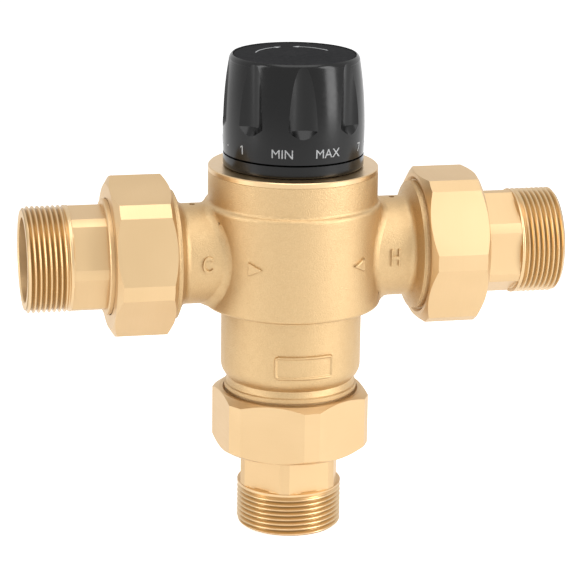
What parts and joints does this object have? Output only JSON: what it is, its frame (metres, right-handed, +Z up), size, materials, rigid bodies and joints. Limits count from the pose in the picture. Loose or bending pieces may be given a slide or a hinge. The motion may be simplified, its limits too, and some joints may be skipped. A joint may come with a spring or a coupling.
{
  "type": "thermostatic mixing valve",
  "caption": "Brass thermostatic water mixing valve with a black setting knob, union tailpieces on the cold, hot and mixed ports, and an inner wax-driven shuttle.",
  "frame": {"origin": "centre of the mixed outlet's rim, on the valve's upright centre line, on the surface it stands on", "axes": "+X from the cold inlet to the hot inlet, -Y to the front where MIN and MAX are read, +Z up from the outlet to the knob"},
  "size_m": [0.2444, 0.0804, 0.2201],
  "materials": {
    "cast_brass": "sandblasted casting",
    "machined_brass": "fine turned",
    "black_plastic": "semi-gloss",
    "grey_plastic": "moulded",
    "seal_rubber": "matt",
    "gasket_fibre": "matt",
    "stainless": "drawn and pressed",
    "copper": "plain"
  },
  "bodies": {
    "valve": {"valve_body": "cast_brass", "bonnet": "machined_brass", "bonnet_oring": "seal_rubber", "index_ring": "black_plastic", "hot_seat_basket": "stainless", "return_spring": "stainless", "union_nut_cold": "machined_brass", "tailpiece_cold": "machined_brass", "gasket_cold": "gasket_fibre", "union_nut_hot": "machined_brass", "tailpiece_hot": "machined_brass", "gasket_hot": "gasket_fibre", "union_nut_mixed": "machined_brass", "tailpiece_mixed": "machined_brass", "gasket_mixed": "gasket_fibre", "strainer_cold": "stainless", "check_cage_cold": "grey_plastic", "check_spring_cold": "stainless", "strainer_hot": "stainless", "check_cage_hot": "grey_plastic", "check_spring_hot": "stainless"},
    "knob": {"knob": "black_plastic", "knob_cap": "black_plastic", "knob_washer": "stainless", "knob_screw": "stainless", "spindle": "machined_brass", "spindle_oring_lower": "seal_rubber", "spindle_oring_upper": "seal_rubber", "spindle_clip": "stainless"},
    "setting_nut": {"setting_nut": "machined_brass", "cup_retaining_ring": "stainless", "overtravel_spring": "stainless"},
    "pressure_pad": {"pressure_pad": "stainless", "wax_piston": "stainless"},
    "shuttle": {"shuttle": "grey_plastic", "shuttle_oring": "seal_rubber", "wax_element": "copper"},
    "check_poppet_cold": {"check_poppet_cold": "grey_plastic", "check_seal_cold": "seal_rubber"},
    "check_poppet_hot": {"check_poppet_hot": "grey_plastic", "check_seal_hot": "seal_rubber"}
  },
  "joints": [
    {"name": "knob_turn", "type": "hinge", "parent": "valve", "child": "knob", "pos_m": [0, 0, 0.19025], "axis": [0, 0, 1], "range_deg": [0, 342]},
    {"name": "setting_travel", "type": "slide", "parent": "valve", "child": "setting_nut", "axis": [0, 0, 1], "range_m": [0, 0.0038]},
    {"name": "overtravel", "type": "slide", "parent": "setting_nut", "child": "pressure_pad", "axis": [0, 0, 1], "range_m": [0, 0.004], "stiffness_N_per_m": 12000, "springref_m": -0.003, "deforming": ["overtravel_spring"]},
    {"name": "shuttle_travel", "type": "slide", "parent": "valve", "child": "shuttle", "axis": [0, 0, 1], "range_m": [-0.0019, 0.0039], "stiffness_N_per_m": 5000, "springref_m": 0.0003, "deforming": ["return_spring"]},
    {"name": "check_open_cold", "type": "slide", "parent": "valve", "child": "check_poppet_cold", "axis": [1, 0, 0], "range_m": [0, 0.006], "stiffness_N_per_m": 200, "springref_m": -0.003, "deforming": ["check_spring_cold"]},
    {"name": "check_open_hot", "type": "slide", "parent": "valve", "child": "check_poppet_hot", "axis": [-1, 0, 0], "range_m": [0, 0.006], "stiffness_N_per_m": 200, "springref_m": -0.003, "deforming": ["check_spring_hot"]}
  ],
  "couplings": [
    {"joint": "knob_turn", "follows": "setting_travel", "rad_per_m": 1570.8}
  ]
}
